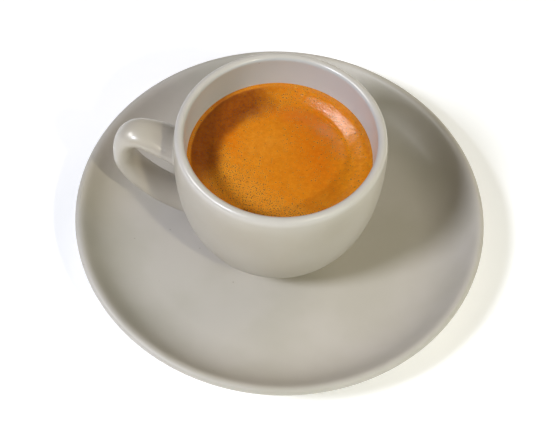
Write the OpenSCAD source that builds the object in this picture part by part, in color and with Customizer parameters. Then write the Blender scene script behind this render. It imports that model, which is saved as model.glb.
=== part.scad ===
// Espresso in a thick-walled cup with a loop handle, on a shallow saucer.
// Millimetres, +Z up. The origin is the middle of the saucer on the table; the handle points to -X.

/* [Saucer] */
// Diameter over the lip
saucer_d = 128; // [110:1:156]
// Height from the table to the top of the lip
saucer_h = 16.3; // [14:0.1:20]
// Diameter of the flat well, where the rise to the lip starts
well_d = 89; // [84:1:98]
// Thickness of the floor
saucer_floor_t = 4; // [3:0.1:5]
// Thickness of the lip, whose edge is fully rounded
saucer_lip_t = 2.6; // [2:0.1:3.4]
// Diameter over the foot ring
saucer_foot_d = 70; // [58:1:76]
// Width of the foot ring's flat face
saucer_foot_w = 3.2; // [2.4:0.1:5]
// Height of the foot ring below the floor
saucer_foot_h = 2.5; // [1.5:0.1:4]

/* [Cup] */
// How far the cup stands from the middle of the saucer, toward the handle
cup_shift = 1.1; // [0:0.1:3]
// Height from the foot to the top of the lip
cup_h = 48.7; // [40:0.1:60]
// Diameter over the lip
rim_d = 62; // [52:0.5:75]
// How much wider the belly is than the rim, on the diameter
belly_extra = 1.1; // [0:0.1:3]
// Depth of the belly, the widest place, below the top of the lip
belly_drop = 7.8; // [4:0.1:12]
// Thickness of the lip, whose edge is fully rounded
lip_t = 2.8; // [2.2:0.1:3.4]
// Thickness of the cup's floor, down to the table side of the foot ring
cup_floor_t = 5; // [4:0.1:7]
// Diameter over the cup's foot ring
cup_foot_d = 37; // [30:0.5:42]
// Width of the cup's foot ring
cup_foot_w = 2.8; // [2:0.1:4]

/* [Handle] */
// Distance from the cup's axis to the outermost point of the handle
handle_reach = 50.7; // [46:0.1:58]
// Width of the strap
strap_w = 11; // [8:0.1:13]
// Thickness of the strap
strap_t = 6.5; // [5:0.1:7]
// Width of the strap where it runs into the wall under the rim
strap_root_w = 16; // [12:0.1:18]
// Depth of the middle of the upper joint below the top of the lip
upper_joint_drop = 13.5; // [12.5:0.1:15]
// Height of the middle of the lower joint above the foot
lower_joint_h = 8.5; // [8:0.1:12]

/* [Espresso] */
// Depth of the crema's surface below the top of the lip
level_drop = 11.6; // [6:0.1:24]
// How far the liquid creeps up the wall
meniscus_h = 0.5; // [0.2:0.1:1]
// Width of the curved edge of the liquid
meniscus_w = 1.6; // [0.8:0.1:2.4]

/* [Hidden] */
$fn = 96;

glaze_colour = [0.80, 0.78, 0.73];
crema_colour = [0.76, 0.45, 0.13];

// Steps along each curved stretch of an outline, and the angle between points on a round edge
curve_steps = 20;
arc_step = 15;
edge_steps = 8;

saucer_r = saucer_d / 2;
well_r = well_d / 2;
well_z = saucer_foot_h + saucer_floor_t;
saucer_lip_r = saucer_lip_t / 2;
saucer_lip_c = [saucer_r - saucer_lip_r, saucer_h - saucer_lip_r];
saucer_foot_r = saucer_foot_d / 2;
// Slopes at which the upper and the under face run into the lip
lip_slope_in = 19;
lip_slope_out = 60;
// Pull of the upper curve's handles: from the well outwards, as a share of the rise's width, and at the lip
rise_pull = 0.66;
lip_pull_in = 3.1;
// The same for the under face, which starts this far outside the foot ring
foot_blend = 3;
under_pull = 0.66;
lip_pull_out = 6;
// How far the foot ring's sides lean out to the underside
foot_lean = 0.8;

rim_r = rim_d / 2;
lip_r = lip_t / 2;
lip_c = [rim_r - lip_r, cup_h - lip_r];
belly_r = rim_r + belly_extra / 2;
belly_z = cup_h - belly_drop;
cup_foot_r = cup_foot_d / 2;
foot_recess_h = 1.3;
foot_round = 0.6;
// The outer wall below the belly is a superellipse that would close this far above the foot's face
bowl_close_z = 0.5;
bowl_z_power = 2.4;
bowl_r_power = 3.7;
// The inner wall is a superellipse from the lip to the floor
inner_top_r = rim_r - lip_t;
inner_depth = lip_c[1] - cup_floor_t;
inner_z_power = 1.8;
inner_r_power = 3.7;

level_z = cup_h - level_drop;

// The handle's path runs in the plane of the cup's axis, as [distance from the axis, height]
// and starts and ends this deep inside the wall
upper_sunk = 2.1;
lower_sunk = 4.3;
path_steps = 14;
section_sides = 24;
section_power = 2;
tip_r = handle_reach - strap_t / 2;
upper_z = cup_h - upper_joint_drop;
lower_z = lower_joint_h;
joint_gap = upper_z - lower_z;
// Height of the outermost point, as a share of the way up between the joints
tip_share = 0.755;
tip_z = lower_z + tip_share * joint_gap;
upper_start = [outer_r(upper_z) - upper_sunk, upper_z];
lower_end = [outer_r(lower_z) - lower_sunk, lower_z];
// Pull of the curve's handles: along the upper arm, above the tip, below the tip, along the lower arm
upper_pull = [0.375 * (tip_r - upper_start[0]), 2];
over_tip = [0, 0.673 * joint_gap];
under_tip = [0, -0.217 * joint_gap];
lower_pull = [0.548 * (tip_r - lower_end[0]), -1.3];
// Reach of the flare at each end, as a share of that arm, and how much the strap thickens there
upper_flare_share = 0.62;
lower_flare_share = 0.38;
upper_thicker = 2.2;
lower_thicker = 2;
lower_wider = 2.4;
// How much narrower the strap is where it bends over, just before the tip, and how far that spreads
bend_narrower = 1.8;
bend_at = 0.92;
bend_spread = 0.42;

// Point at share t of the cubic curve with the four given control points
function bezier(p, t) = pow(1 - t, 3) * p[0] + 3 * pow(1 - t, 2) * t * p[1]
    + 3 * (1 - t) * t * t * p[2] + pow(t, 3) * p[3];

function bezier_points(p, steps) = [for (i = [0:steps]) bezier(p, i / steps)];

// Points of a round edge, from one angle to the other
function arc_points(c, r, from, to) = [for (a = [from:arc_step:to]) c + r * [cos(a), sin(a)]];

// Radius of the outer wall at height z, below the belly
function outer_r(z) =
    belly_r * pow(1 - pow((belly_z - z) / (belly_z - bowl_close_z), bowl_z_power), 1 / bowl_r_power);

// Point of a superellipse that falls from [r, top] to the axis, depth lower
function bowl_point(r, top, depth, z_power, r_power, a) =
    [r * pow(cos(a), 2 / r_power), top - depth * pow(sin(a), 2 / z_power)];

// Angle at which the outer superellipse has come in to the foot ring
foot_angle = acos(pow(cup_foot_r / belly_r, bowl_r_power / 2));

function outer_bowl() = [for (i = [curve_steps:-1:0])
    bowl_point(belly_r, belly_z, belly_z - bowl_close_z, bowl_z_power, bowl_r_power,
        foot_angle * i / curve_steps)];

function outer_neck() = [for (i = [1:4]) let (v = i / 4)
    [belly_r - (belly_r - rim_r) * v * v, belly_z + (lip_c[1] - belly_z) * v]];

function inner_bowl(from, to, steps) = [for (i = [0:steps])
    bowl_point(inner_top_r, lip_c[1], inner_depth, inner_z_power, inner_r_power,
        from + (to - from) * i / steps)];

// Angle on the inner superellipse where the liquid's edge meets the wall
edge_angle = asin(pow((lip_c[1] - level_z - meniscus_h) / inner_depth, inner_z_power / 2));

// The wall that the liquid wets, which the cup and the espresso share
wetted_wall = inner_bowl(edge_angle, 90, curve_steps);

// Share of the flare left at share s of an arm that flares over its first part
function flare(s, reach) = pow(max(0, 1 - s / reach), 2);

// One ring of the strap: centre, direction of the path, width and thickness
function strap_ring(c, d, w, t) = let (n = [-d[1], d[0]] / norm(d))
    [for (i = [0:section_sides - 1])
        let (a = 360 * i / section_sides,
            u = sign(cos(a)) * pow(abs(cos(a)), 2 / section_power) * t / 2,
            v = sign(sin(a)) * pow(abs(sin(a)), 2 / section_power) * w / 2)
        [-(c[0] + n[0] * u), v, c[1] + n[1] * u]];

// Closed skin over a list of rings, with a fan on each end
function skin_faces(rings, sides) = concat(
    [[for (j = [0:sides - 1]) j]],
    [for (i = [0:rings - 2], j = [0:sides - 1]) let (k = (j + 1) % sides)
        [i * sides + j, (i + 1) * sides + j, i * sides + k]],
    [for (i = [0:rings - 2], j = [0:sides - 1]) let (k = (j + 1) % sides)
        [i * sides + k, (i + 1) * sides + j, (i + 1) * sides + k]],
    [[for (j = [sides - 1:-1:0]) (rings - 1) * sides + j]]);

module saucer_profile() {
    upper = [
        [well_r, well_z],
        [well_r + rise_pull * (saucer_r - well_r), well_z],
        saucer_lip_c + saucer_lip_r * [-sin(lip_slope_in), cos(lip_slope_in)]
            - lip_pull_in * [cos(lip_slope_in), sin(lip_slope_in)],
        saucer_lip_c + saucer_lip_r * [-sin(lip_slope_in), cos(lip_slope_in)],
    ];
    under = [
        [saucer_foot_r + foot_blend, saucer_foot_h],
        [saucer_foot_r + under_pull * (saucer_r - saucer_foot_r), saucer_foot_h],
        saucer_lip_c + saucer_lip_r * [sin(lip_slope_out), -cos(lip_slope_out)]
            - lip_pull_out * [cos(lip_slope_out), sin(lip_slope_out)],
        saucer_lip_c + saucer_lip_r * [sin(lip_slope_out), -cos(lip_slope_out)],
    ];
    polygon(concat(
        [[0, saucer_foot_h], [saucer_foot_r - saucer_foot_w - foot_lean, saucer_foot_h],
            [saucer_foot_r - saucer_foot_w, 0], [saucer_foot_r, 0], [saucer_foot_r + foot_lean, saucer_foot_h]],
        bezier_points(under, curve_steps),
        arc_points(saucer_lip_c, saucer_lip_r, lip_slope_out - 90 + arc_step, 90),
        [for (i = [curve_steps:-1:0]) bezier(upper, i / curve_steps)],
        [[0, well_z]]));
}

module cup_profile() {
    polygon(concat(
        [[0, foot_recess_h], [cup_foot_r - cup_foot_w - foot_round, foot_recess_h],
            [cup_foot_r - cup_foot_w, 0], [cup_foot_r - foot_round, 0], [cup_foot_r, foot_round]],
        outer_bowl(),
        outer_neck(),
        arc_points(lip_c, lip_r, arc_step, 180 - arc_step),
        inner_bowl(0, edge_angle - edge_angle / edge_steps, edge_steps - 1),
        wetted_wall));
}

module espresso_profile() {
    surface = [for (i = [0:edge_steps - 1]) let (v = i / edge_steps)
        [wetted_wall[0][0] - meniscus_w * (1 - v), level_z + meniscus_h * pow(v, 3)]];
    polygon(concat([[0, level_z]], surface, wetted_wall));
}

module handle() {
    upper = [upper_start, upper_start + upper_pull, [tip_r, tip_z] + over_tip, [tip_r, tip_z]];
    lower = [[tip_r, tip_z], [tip_r, tip_z] + under_tip, lower_end + lower_pull, lower_end];
    centres = concat(bezier_points(upper, path_steps),
        [for (i = [1:path_steps]) bezier(lower, i / path_steps)]);
    last = 2 * path_steps;
    rings = [for (i = [0:last])
        let (d = centres[min(i + 1, last)] - centres[max(i - 1, 0)],
            up = flare(i / path_steps, upper_flare_share),
            down = flare((last - i) / path_steps, lower_flare_share))
        strap_ring(centres[i], d,
            strap_w + (strap_root_w - strap_w) * up + lower_wider * down
                - bend_narrower * exp(-pow((i / path_steps - bend_at) / bend_spread, 2)),
            strap_t + upper_thicker * flare(i / path_steps, lower_flare_share) + lower_thicker * down)];
    polyhedron([for (ring = rings, p = ring) p], skin_faces(last + 1, section_sides), 4);
}

module saucer() {
    color(glaze_colour) rotate_extrude() saucer_profile();
}

module on_saucer() {
    translate([-cup_shift, 0, well_z]) children();
}

module cup() {
    color(glaze_colour) on_saucer() union() {
        rotate_extrude() cup_profile();
        handle();
    }
}

module espresso() {
    color(crema_colour) on_saucer() rotate_extrude() espresso_profile();
}

saucer();
cup();
espresso();
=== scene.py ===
"""Espresso with its crema in a stoneware cup, on the matching saucer.

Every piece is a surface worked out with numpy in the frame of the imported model: metres, +Z up, the saucer's
axis on the Z axis and the cup's handle towards -X.
"""

import logging
import math
from dataclasses import dataclass, field
from enum import Enum
from typing import Any, Union

import bpy
import numpy as np
from mathutils import Matrix, Vector


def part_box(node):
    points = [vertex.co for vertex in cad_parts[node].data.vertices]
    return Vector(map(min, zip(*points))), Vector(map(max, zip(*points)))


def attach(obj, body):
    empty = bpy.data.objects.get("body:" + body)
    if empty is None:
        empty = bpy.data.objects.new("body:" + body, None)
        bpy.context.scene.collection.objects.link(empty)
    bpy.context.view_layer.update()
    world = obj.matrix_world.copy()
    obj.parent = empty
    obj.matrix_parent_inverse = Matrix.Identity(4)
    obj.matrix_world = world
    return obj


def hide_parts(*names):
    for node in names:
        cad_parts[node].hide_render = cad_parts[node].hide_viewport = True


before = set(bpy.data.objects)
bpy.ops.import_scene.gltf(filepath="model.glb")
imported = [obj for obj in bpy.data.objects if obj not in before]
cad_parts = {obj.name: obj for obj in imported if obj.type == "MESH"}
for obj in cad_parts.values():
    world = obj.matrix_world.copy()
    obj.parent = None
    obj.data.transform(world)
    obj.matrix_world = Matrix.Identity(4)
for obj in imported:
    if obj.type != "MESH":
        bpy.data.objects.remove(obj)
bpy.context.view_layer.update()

LOG = logging.getLogger("espresso")
MM = 0.001
BODY = "root"

Array = np.ndarray
Colour = tuple[float, float, float]
Number = Union[int, float]


class Slot(Enum):
    """The record's material slots."""

    CERAMIC = "ceramic"
    CREMA = "crema"


class Arm(Enum):
    """The two arms of the cup's handle."""

    UPPER = "upper"
    LOWER = "lower"


# ---------------------------------------------------------------------------------------------------------
# Shader maths
# ---------------------------------------------------------------------------------------------------------


class Wire:
    """A value on its way through a material. Arithmetic on it adds the Math nodes."""

    def __init__(self, sheet: "NodeSheet", socket: bpy.types.NodeSocket) -> None:
        """Keep the sheet that the value belongs to, and its socket."""
        self.sheet = sheet
        self.socket = socket

    def _math(self, operation: str, *values: Union["Wire", Number]) -> "Wire":
        """Add one Math node.

        Args:
            operation: The Math node's operation.
            values: What goes into its sockets, in order.

        Returns:
            The node's result.
        """
        settings = {"operation": operation}
        return self.sheet.node("ShaderNodeMath", settings, dict(enumerate(values)))

    def __add__(self, other: Union["Wire", Number]) -> "Wire":
        """Sum."""
        return self._math("ADD", self, other)

    __radd__ = __add__

    def __sub__(self, other: Union["Wire", Number]) -> "Wire":
        """Difference."""
        return self._math("SUBTRACT", self, other)

    def __rsub__(self, other: Number) -> "Wire":
        """Difference from a number."""
        return self._math("SUBTRACT", other, self)

    def __mul__(self, other: Union["Wire", Number]) -> "Wire":
        """Product."""
        return self._math("MULTIPLY", self, other)

    __rmul__ = __mul__

    def __truediv__(self, other: Union["Wire", Number]) -> "Wire":
        """Quotient."""
        return self._math("DIVIDE", self, other)

    def smooth(self, low: float, high: float) -> "Wire":
        """Go smoothly from 0 at low to 1 at high, or from 1 to 0 where high is the smaller.

        Args:
            low: The value that gives 0.
            high: The value that gives 1.

        Returns:
            The share, between 0 and 1.
        """
        settings = {"interpolation_type": "SMOOTHSTEP"}
        if low < high:
            limits = {"From Min": low, "From Max": high, "To Min": 0.0, "To Max": 1.0}
        else:
            limits = {"From Min": high, "From Max": low, "To Min": 1.0, "To Max": 0.0}
        return self.sheet.node("ShaderNodeMapRange", settings, {"Value": self, **limits})

    def sqrt(self) -> "Wire":
        """Square root."""
        return self._math("SQRT", self)


class NodeSheet:
    """The node tree of one material, with its Principled shader."""

    def __init__(self, name: str) -> None:
        """Make an empty material of that name."""
        self.material = bpy.data.materials.new(name)
        self.material.use_nodes = True
        self.tree = self.material.node_tree
        self.tree.nodes.clear()
        self.output = self.tree.nodes.new("ShaderNodeOutputMaterial")
        self.shader = self.tree.nodes.new("ShaderNodeBsdfPrincipled")
        self.tree.links.new(self.shader.outputs["BSDF"], self.output.inputs["Surface"])

    def plug(self, socket: bpy.types.NodeSocket, value: Any) -> None:
        """Link a wire into a socket, or set a plain value on it.

        Args:
            socket: The input socket.
            value: A wire, a number, a vector or a colour.
        """
        if isinstance(value, Wire):
            self.tree.links.new(value.socket, socket)
        elif isinstance(value, tuple) and socket.type == "RGBA":
            socket.default_value = (*value, 1.0)[:4]
        else:
            socket.default_value = value

    def node(self, kind: str, settings: dict[str, Any], inputs: dict[Any, Any], output: Any = 0) -> Wire:
        """Add any node.

        Args:
            kind: The node's type.
            settings: Its properties, set first.
            inputs: The values or wires of its sockets, by name or number.
            output: The output wanted, by name or number.

        Returns:
            The wire from that output.
        """
        made = self.tree.nodes.new(kind)
        for key, value in settings.items():
            setattr(made, key, value)
        for key, value in inputs.items():
            self.plug(made.inputs[key], value)
        return Wire(self, made.outputs[output])

    def place(self) -> Wire:
        """The Object coordinates, in metres."""
        return self.node("ShaderNodeTexCoord", {}, {}, "Object")

    def axes(self, vector: Wire) -> tuple[Wire, Wire, Wire]:
        """Take a vector apart.

        Args:
            vector: The vector or colour.

        Returns:
            Its X, Y and Z parts.
        """
        made = self.tree.nodes.new("ShaderNodeSeparateXYZ")
        self.plug(made.inputs[0], vector)
        return tuple(Wire(self, made.outputs[axis]) for axis in "XYZ")

    def noise(self, size: float, detail: float = 3.0, roughness: float = 0.5) -> Wire:
        """Soft noise on the Object coordinates, whose lumps are about the given size.

        Args:
            size: Size of a lump, in metres.
            detail: Octaves of finer noise on top.
            roughness: How strong those are.

        Returns:
            The noise, about 0 to 1 round 0.5.
        """
        inputs = {"Vector": self.place(), "Scale": 1.0 / size, "Detail": detail, "Roughness": roughness}
        return self.node("ShaderNodeTexNoise", {}, inputs)

    def own(self, name: str) -> Wire:
        """The piece's own attribute of that name."""
        return self.node("ShaderNodeAttribute", {"attribute_name": name}, {}, "Fac")

    def blend(self, share: Wire | float, first: Wire | Colour, second: Wire | Colour) -> Wire:
        """Mix two colours.

        Args:
            share: How much of the second.
            first: The first colour.
            second: The second colour.

        Returns:
            The mixed colour.
        """
        return self.node("ShaderNodeMix", {"data_type": "RGBA"}, {0: share, 6: first, 7: second}, 2)

    def bump(self, height: Wire, depth: float, under: Wire | None = None) -> Wire:
        """Turn a height from 0 to 1 into a normal.

        Args:
            height: The height.
            depth: What 1 stands for, in metres.
            under: A coarser normal that this one lies on.

        Returns:
            The normal.
        """
        inputs = {"Height": height, "Distance": depth, "Strength": 1.0}
        if under is not None:
            inputs["Normal"] = under
        return self.node("ShaderNodeBump", {}, inputs, "Normal")

    def finish(self, **sockets: Any) -> bpy.types.Material:
        """Set the shader's sockets, by name with _ for a space.

        Args:
            sockets: The values or wires.

        Returns:
            The material.
        """
        for name, value in sockets.items():
            self.plug(self.shader.inputs[name.replace("_", " ")], value)
        return self.material


# ---------------------------------------------------------------------------------------------------------
# Finishes
# ---------------------------------------------------------------------------------------------------------


@dataclass(frozen=True)
class BowlPaintedLight:
    """Where light is painted on the cup: painted light on the inside of the bowl over the drink, and a
    painted highlight on its lip.

    Attributes:
        axis_x: Where the bowl's axis stands on X, in metres.
        wall: Radius of the inner wall under the lip.
        level: Height of the drink's edge.
        top: Height of the lip's top.
        wall_fade: How far outside and inside the wall's radius the painted light inside starts and is whole.
        level_fade: How far under the drink's edge it starts and is whole.
        lip_highlight_fade: How far under the top the lip's painted highlight starts and is whole.
    """

    axis_x: float
    wall: float
    level: float
    top: float
    wall_fade: tuple[float, float] = (0.7 * MM, 0.1 * MM)
    level_fade: tuple[float, float] = (6 * MM, 2 * MM)
    lip_highlight_fade: tuple[float, float] = (2.8 * MM, 1.0 * MM)

    def inner(self, x: Wire, y: Wire, z: Wire) -> Wire:
        """The share of the painted light inside the bowl: inside the wall's radius and over the drink.

        Args:
            x: X of the point.
            y: Y of the point.
            z: Its height.

        Returns:
            The share, from 0 to 1.
        """
        from_axis = ((x - self.axis_x) * (x - self.axis_x) + y * y).sqrt()
        within = from_axis.smooth(self.wall + self.wall_fade[0], self.wall - self.wall_fade[1])
        return within * z.smooth(self.level - self.level_fade[0], self.level - self.level_fade[1])

    def lip(self, z: Wire) -> Wire:
        """The share of the lip's painted highlight at a height."""
        return z.smooth(self.top - self.lip_highlight_fade[0], self.top - self.lip_highlight_fade[1])


@dataclass(frozen=True)
class Glaze:
    """Satin stoneware glaze, a warm off-white, with bare clay on the foot ring, and where it has a bowl,
    painted light inside it and a painted highlight on its lip.

    Attributes:
        name: The material's name.
        foot_z: Height of the foot ring's face, in metres.
        colour: The glaze.
        warm: Where the glaze lies thinner.
        inner_painted_light: Painted light inside the bowl: a cooler, brighter tone over the drink, against
            the crema's orange bounce.
        lip: Painted highlight on the lip: a paler tone near its top.
        clay: The bare clay of the foot.
        speck: Iron specks in the body.
        bowl: Where the painted light inside the bowl and the lip's painted highlight go, or None on a piece
            that has none.
        roughness: Roughness of the glaze where it is least worn.
        wear: How much rougher it gets where it is most worn.
        bare_rougher: How much rougher the bare clay is.
        coat: Weight of the glossy coat.
        coat_roughness: Its roughness.
        bare_height: How far the bare clay reaches up from the foot's face.
        cloud_size: Size of the clouds of thinner glaze.
        wear_size: Size of the worn places.
        speck_cell: Width of the cells that may hold a speck.
        speck_size: Radius of a speck, as a share of its cell.
        speck_strength: How dark the specks show through.
        wavy: Size and depth of the slow unevenness.
        fine: Size and depth of the fine unevenness.
    """

    name: str
    foot_z: float
    colour: Colour = (0.545, 0.505, 0.45)
    warm: Colour = (0.50, 0.465, 0.40)
    inner_painted_light: Colour = (0.535, 0.565, 0.575)
    lip: Colour = (0.60, 0.56, 0.505)
    clay: Colour = (0.50, 0.43, 0.34)
    speck: Colour = (0.20, 0.15, 0.10)
    bowl: BowlPaintedLight | None = None
    roughness: float = 0.30
    wear: float = 0.10
    bare_rougher: float = 0.45
    coat: float = 0.25
    coat_roughness: float = 0.18
    bare_height: float = 0.35 * MM
    cloud_size: float = 22 * MM
    wear_size: float = 6 * MM
    speck_cell: float = 5.5 * MM
    speck_size: float = 0.035
    speck_strength: float = 0.5
    wavy: tuple[float, float] = (14 * MM, 0.10 * MM)
    fine: tuple[float, float] = (1.1 * MM, 0.006 * MM)

    def specks(self, sheet: NodeSheet) -> Wire:
        """Find the iron specks: about one cell in three has one, round the cell's own point.

        Args:
            sheet: The material's nodes.

        Returns:
            The share of speck at each point.
        """
        cells = {"Vector": sheet.place(), "Scale": 1.0 / self.speck_cell}
        distance = sheet.node("ShaderNodeTexVoronoi", {}, cells, "Distance")
        lot = sheet.axes(sheet.node("ShaderNodeTexVoronoi", {}, cells, "Color"))[0]
        return distance.smooth(self.speck_size * 1.6, self.speck_size * 0.5) * lot.smooth(0.62, 0.70)

    def material(self) -> bpy.types.Material:
        """Lay cloudy glaze over the clay, with rare specks and a faint unevenness, and where there is a bowl,
        paint light inside it and a highlight on its lip.

        Returns:
            The material.
        """
        sheet = NodeSheet(self.name)
        x, y, z = sheet.axes(sheet.place())
        clouds = sheet.noise(self.cloud_size).smooth(0.35, 0.70)
        glaze = sheet.blend(clouds, self.colour, self.warm)
        if self.bowl is not None:
            # Painted highlight: the lip is paler near its top.
            glaze = sheet.blend(self.bowl.lip(z), glaze, self.lip)
            # Painted light: the inside over the drink is cooler and brighter, against the crema's orange
            # bounce.
            glaze = sheet.blend(self.bowl.inner(x, y, z), glaze, self.inner_painted_light)
        glaze = sheet.blend(self.specks(sheet) * self.speck_strength, glaze, self.speck)
        bare = z.smooth(self.foot_z + self.bare_height, self.foot_z + self.bare_height * 0.6)
        worn = sheet.noise(self.wear_size, 4.0, 0.6)
        wavy = sheet.bump(sheet.noise(self.wavy[0], 1.0), self.wavy[1])
        return sheet.finish(
            Base_Color=sheet.blend(bare, glaze, self.clay),
            Roughness=self.roughness + worn * self.wear + bare * self.bare_rougher,
            Coat_Weight=(1 - bare) * self.coat,
            Coat_Roughness=self.coat_roughness,
            IOR=1.5,
            Normal=sheet.bump(sheet.noise(self.fine[0], 2.0), self.fine[1], wavy),
        )


@dataclass(frozen=True)
class PinHoles:
    """Tiny burst bubbles: at most one to a cell, as a round spot with a paler ring round it.

    Attributes:
        cell: Width of a cell, in metres.
        radius: Radius of the largest hole, as a share of the cell.
        share: How many of the cells have one where the froth is coarsest.
        smallest: The smallest hole, as a share of the largest.
        ring: How far the ring reaches, in radii of its hole.
    """

    cell: float
    radius: float
    share: float
    smallest: float = 0.55
    ring: float = 2.1

    def marks(self, sheet: NodeSheet, density: Wire) -> tuple[Wire, Wire]:
        """Find the holes and their rings.

        Args:
            sheet: The material's nodes.
            density: How coarse the froth is, from 0 to 1.

        Returns:
            The share of hole and the share of ring at each point.
        """
        flat = {"voronoi_dimensions": "2D"}
        cells = {"Vector": sheet.place(), "Scale": 1.0 / self.cell}
        distance = sheet.node("ShaderNodeTexVoronoi", flat, cells, "Distance")
        lot, size, _ = sheet.axes(sheet.node("ShaderNodeTexVoronoi", flat, cells, "Color"))
        there = (density * self.share - lot).smooth(-0.02, 0.04)
        radius = self.radius * (self.smallest + size * (1 - self.smallest))
        reach = distance / radius
        hole = reach.smooth(1.0, 0.35) * there
        ring = reach.smooth(self.ring, 1.2) * there * (1 - hole)
        return hole, ring


@dataclass(frozen=True)
class Crema:
    """The fine foam of an espresso: amber, with a redder side, paler froth and dark pin holes, and painted
    light and painted shadow on its bank.

    Attributes:
        name: The material's name.
        amber: The plain foam.
        rust: The redder side, and the foam between the grains.
        froth: Pale froth, and the rings of the holes.
        painted_light_orange: Painted light: a brighter orange on the bank away from the handle, lifting the
            shadow that the wall casts there.
        painted_shade_and_mottle: Painted shadow of the wall on the bank on the handle's side, and the darker
            lumps of the foam.
        hole: The bottom of a hole.
        fine: The small holes.
        middling: The larger ones.
        roughness: Roughness of the smoothest foam.
        cloud_size: Size of the clouds that fray the zones.
        lump_size: Size of the foam's lumps.
        grain_size: Size of its grain.
        crackle_depth: Depth of the grain on the bank.
        scatter: Weight of the light that scatters under the surface.
        scatter_depth: How deep it goes, in metres.
        scatter_colour: How much deeper red goes than green and blue.
    """

    name: str = "crema"
    amber: Colour = (0.73, 0.252, 0.010)
    rust: Colour = (0.70, 0.178, 0.003)
    froth: Colour = (0.78, 0.325, 0.030)
    painted_light_orange: Colour = (0.93, 0.335, 0.010)
    painted_shade_and_mottle: Colour = (0.26, 0.062, 0.005)
    hole: Colour = (0.10, 0.018, 0.001)
    fine: PinHoles = PinHoles(0.57 * MM, 0.37, 1.0)
    middling: PinHoles = PinHoles(1.15 * MM, 0.27, 0.70)
    roughness: float = 0.16
    cloud_size: float = 4.5 * MM
    lump_size: float = 1.3 * MM
    grain_size: float = 0.42 * MM
    crackle_depth: float = 0.12 * MM
    scatter: float = 0.35
    scatter_depth: float = 2.5 * MM
    scatter_colour: Colour = (1.0, 0.45, 0.12)

    def material(self) -> bpy.types.Material:
        """Mix the zones that the piece's attributes mark, and grain them finely.

        Returns:
            The material.
        """
        sheet = NodeSheet(self.name)
        cloud = sheet.noise(self.cloud_size, 4.0, 0.6) - 0.5
        grain = sheet.noise(self.grain_size, 2.0, 0.6)
        lumps = sheet.noise(self.lump_size, 3.0, 0.6)
        rusty = (sheet.own("rusty") + cloud * 0.7).smooth(0.10, 0.95)
        frothy = (sheet.own("frothy") + cloud * 0.7).smooth(0.10, 0.95)
        # Painted shadow of the cup's wall on the bank on the handle's side.
        painted_wall_shadow = (sheet.own("painted_wall_shadow") + cloud * 0.5).smooth(0.05, 0.95)
        mottle = (grain * 0.6 + lumps * 0.4).smooth(0.32, 0.68)
        density = sheet.own("pitted") + cloud * 0.5
        small, small_ring = self.fine.marks(sheet, density)
        large, large_ring = self.middling.marks(sheet, density)
        layers = (
            (rusty, self.rust),
            (frothy * 0.9, self.froth),
            # Painted light on the bank away from the handle.
            (sheet.own("painted_lit_bank"), self.painted_light_orange),
            ((1 - mottle) * 0.55, self.rust),
            (grain.smooth(0.50, 0.75) * 0.35, self.froth),
            # Painted shadow of the wall, with the foam's darker lumps.
            (painted_wall_shadow * 0.85 + (1 - lumps.smooth(0.3, 0.7)) * 0.16, self.painted_shade_and_mottle),
            # Pale rings are kept out of the painted shadow.
            ((small_ring + large_ring) * (1 - painted_wall_shadow) * 0.50, self.froth),
            (small * 0.85, self.hole),
            (large * 0.90, self.hole),
            (sheet.own("holes") * 0.9, self.hole),
        )
        colour = self.amber
        for share, tone in layers:
            colour = sheet.blend(share, colour, tone)
        crackle = (grain * 0.7 + lumps * 0.5) * (sheet.own("folded") * 0.8 + 0.2)
        return sheet.finish(
            Base_Color=colour,
            Roughness=self.roughness + mottle * 0.06 + (small + large) * 0.2,
            IOR=1.43,
            Subsurface_Weight=self.scatter,
            Subsurface_Radius=self.scatter_colour,
            Subsurface_Scale=self.scatter_depth,
            Normal=sheet.bump(crackle, self.crackle_depth),
        )


@dataclass(frozen=True)
class PlainFloor:
    """Pale matte floor of the studio.

    Attributes:
        name: The material's name.
        colour: Its colour.
        glow: How much light it gives off itself, which keeps it pale.
    """

    name: str = "floor"
    colour: Colour = (0.90, 0.90, 0.90)
    glow: float = 0.30

    def material(self) -> bpy.types.Material:
        """Plain and matte, lifted a little so that it stays pale.

        Returns:
            The material.
        """
        sheet = NodeSheet(self.name)
        return sheet.finish(
            Base_Color=self.colour,
            Roughness=0.9,
            Emission_Color=(1.0, 1.0, 1.0),
            Emission_Strength=self.glow,
        )


# ---------------------------------------------------------------------------------------------------------
# Surfaces
# ---------------------------------------------------------------------------------------------------------


@dataclass
class Surface:
    """Points and faces of one mesh, with values that belong to its points.

    Attributes:
        points: One point to a row.
        faces: The corners of each face, anticlockwise seen from outside.
        values: Named values, one for each point.
    """

    points: Array
    faces: list[tuple[int, ...]]
    values: dict[str, Array] = field(default_factory=dict)

    def joined(self, other: "Surface") -> "Surface":
        """This surface and another as one.

        Args:
            other: The surface that is added.

        Returns:
            Both in one.
        """
        shift = len(self.points)
        faces = self.faces + [tuple(corner + shift for corner in face) for face in other.faces]
        return Surface(np.vstack([self.points, other.points]), faces)

    def piece(self, name: str, finish: bpy.types.Material, slot: Slot) -> bpy.types.Object:
        """Make the Blender object, at the origin and unturned, and let it ride on the body.

        Args:
            name: The object's name.
            finish: Its material.
            slot: The record's slot for its finish; not used.

        Returns:
            The object.
        """
        mesh = bpy.data.meshes.new(name)
        mesh.from_pydata(self.points.tolist(), [], self.faces)
        mesh.polygons.foreach_set("use_smooth", np.ones(len(mesh.polygons), dtype=bool))
        for key, value in self.values.items():
            mesh.attributes.new(key, "FLOAT", "POINT").data.foreach_set("value", value.astype(np.float32))
        mesh.materials.append(finish)
        mesh.validate()
        mesh.update()
        made = bpy.data.objects.new(name, mesh)
        bpy.context.scene.collection.objects.link(made)
        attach(made, BODY)
        return made


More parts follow.
